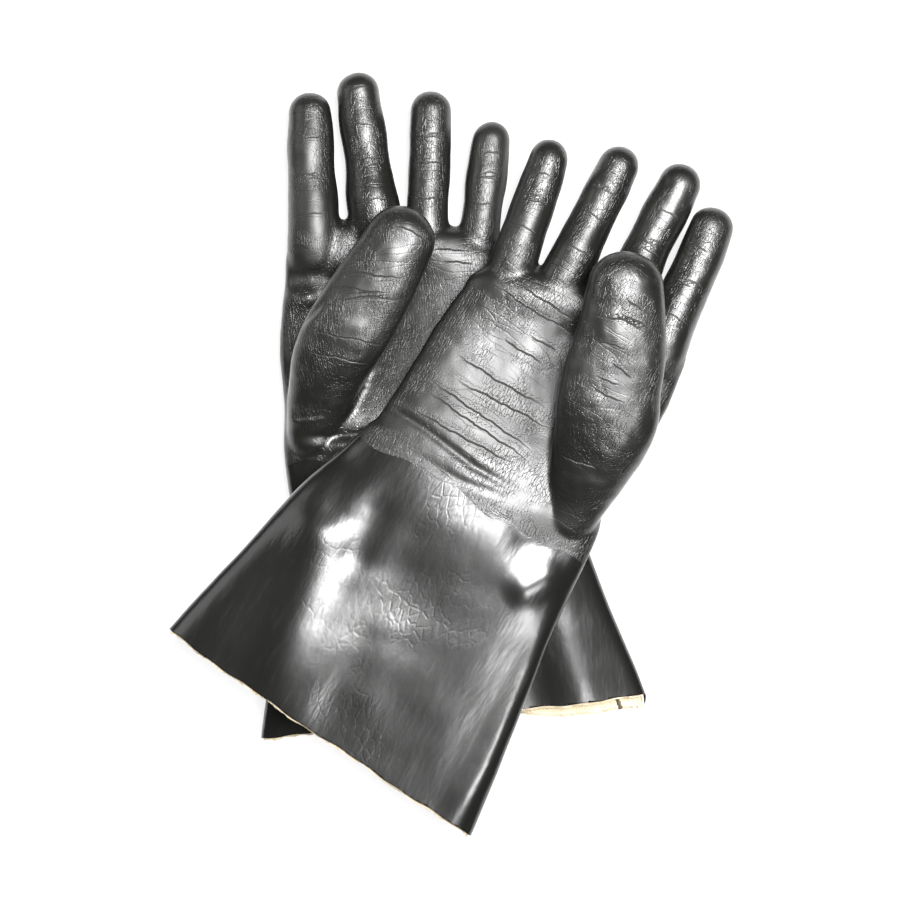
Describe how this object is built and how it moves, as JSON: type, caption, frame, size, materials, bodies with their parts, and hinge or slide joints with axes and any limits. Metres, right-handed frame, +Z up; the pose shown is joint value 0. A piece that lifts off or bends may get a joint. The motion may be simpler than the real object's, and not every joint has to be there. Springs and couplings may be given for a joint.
{
  "type": "lined rubber gauntlet gloves",
  "caption": "Pair of lined rubber gauntlet gloves for hand protection, lying palm side up with one crossed over the other; fingers, thumbs and one wrist bend.",
  "frame": {"origin": "centre of the pair's bounding box on the surface it lies on", "axes": "+Z up out of the palms, +Y towards the fingertips of the lower (left) glove, +X towards its little finger"},
  "size_m": [0.2938, 0.4052, 0.0809],
  "materials": {
    "hand_rubber": "wrinkled satin",
    "gauntlet_rubber": "smooth gloss",
    "jersey_lining": "knitted",
    "lining_seam": "stitched"
  },
  "bodies": {
    "left_hand": {"left_palm_skin": "hand_rubber", "left_palm_lining": "jersey_lining", "left_gauntlet_skin": "gauntlet_rubber", "left_gauntlet_lining": "jersey_lining", "left_gauntlet_seam": "lining_seam"},
    "left_index": {"left_index_skin": "hand_rubber", "left_index_lining": "jersey_lining"},
    "left_middle": {"left_middle_skin": "hand_rubber", "left_middle_lining": "jersey_lining"},
    "left_ring": {"left_ring_skin": "hand_rubber", "left_ring_lining": "jersey_lining"},
    "left_little": {"left_little_skin": "hand_rubber", "left_little_lining": "jersey_lining"},
    "left_thumb": {"left_thumb_skin": "hand_rubber", "left_thumb_lining": "jersey_lining"},
    "right_hand": {"right_palm_skin": "hand_rubber", "right_palm_lining": "jersey_lining"},
    "right_gauntlet": {"right_gauntlet_skin": "gauntlet_rubber", "right_gauntlet_lining": "jersey_lining", "right_gauntlet_seam": "lining_seam"},
    "right_index": {"right_index_skin": "hand_rubber", "right_index_lining": "jersey_lining"},
    "right_middle": {"right_middle_skin": "hand_rubber", "right_middle_lining": "jersey_lining"},
    "right_ring": {"right_ring_skin": "hand_rubber", "right_ring_lining": "jersey_lining"},
    "right_little": {"right_little_skin": "hand_rubber", "right_little_lining": "jersey_lining"},
    "right_thumb": {"right_thumb_skin": "hand_rubber", "right_thumb_lining": "jersey_lining"}
  },
  "joints": [
    {"name": "left_index_curl", "type": "hinge", "parent": "left_hand", "child": "left_index", "pos_m": [-0.07441, 0.12442, 0.0136], "axis": [0.9993, 0.0371, 0], "range_deg": [0, 60], "stiffness_Nm_per_rad": 0.03},
    {"name": "left_middle_curl", "type": "hinge", "parent": "left_hand", "child": "left_middle", "pos_m": [-0.04216, 0.13112, 0.014], "axis": [0.9912, 0.1325, 0], "range_deg": [0, 60], "stiffness_Nm_per_rad": 0.03},
    {"name": "left_ring_curl", "type": "hinge", "parent": "left_hand", "child": "left_ring", "pos_m": [-0.01301, 0.13142, 0.0127], "axis": [0.9995, -0.033, 0], "range_deg": [0, 60], "stiffness_Nm_per_rad": 0.025},
    {"name": "left_little_curl", "type": "hinge", "parent": "left_hand", "child": "left_little", "pos_m": [0.0162, 0.1277, 0.0122], "axis": [0.9908, -0.135, 0], "range_deg": [0, 60], "stiffness_Nm_per_rad": 0.02},
    {"name": "left_thumb_swing", "type": "hinge", "parent": "left_hand", "child": "left_thumb", "pos_m": [-0.05549, 0.06261, 0.0362], "axis": [0.8569, -0.5155, 0], "range_deg": [0, 60], "stiffness_Nm_per_rad": 0.06},
    {"name": "right_hand_lift", "type": "slide", "parent": "left_hand", "child": "right_hand", "axis": [0, 0, 1], "range_m": [0, 0.12]},
    {"name": "right_wrist_fold", "type": "hinge", "parent": "right_hand", "child": "right_gauntlet", "pos_m": [0.01631, -0.01789, 0.0415], "axis": [-0.8572, 0.515, 0], "range_deg": [0, 60], "stiffness_Nm_per_rad": 0.6},
    {"name": "right_index_curl", "type": "hinge", "parent": "right_hand", "child": "right_index", "pos_m": [0.11574, 0.06761, 0.0418], "axis": [0.9208, -0.3901, 0], "range_deg": [0, 60], "stiffness_Nm_per_rad": 0.03},
    {"name": "right_middle_curl", "type": "hinge", "parent": "right_hand", "child": "right_middle", "pos_m": [0.09252, 0.08565, 0.0422], "axis": [0.8955, -0.445, 0], "range_deg": [0, 28], "stiffness_Nm_per_rad": 0.03},
    {"name": "right_ring_curl", "type": "hinge", "parent": "right_hand", "child": "right_ring", "pos_m": [0.06423, 0.10148, 0.0409], "axis": [0.8966, -0.4428, 0], "range_deg": [0, 60], "stiffness_Nm_per_rad": 0.025},
    {"name": "right_little_curl", "type": "hinge", "parent": "right_hand", "child": "right_little", "pos_m": [0.03671, 0.1116, 0.0404], "axis": [0.9469, -0.3214, 0], "range_deg": [0, 60], "stiffness_Nm_per_rad": 0.02},
    {"name": "right_thumb_swing", "type": "hinge", "parent": "right_hand", "child": "right_thumb", "pos_m": [0.07885, 0.02305, 0.0644], "axis": [0.9894, -0.1454, 0], "range_deg": [0, 60], "stiffness_Nm_per_rad": 0.06}
  ]
}
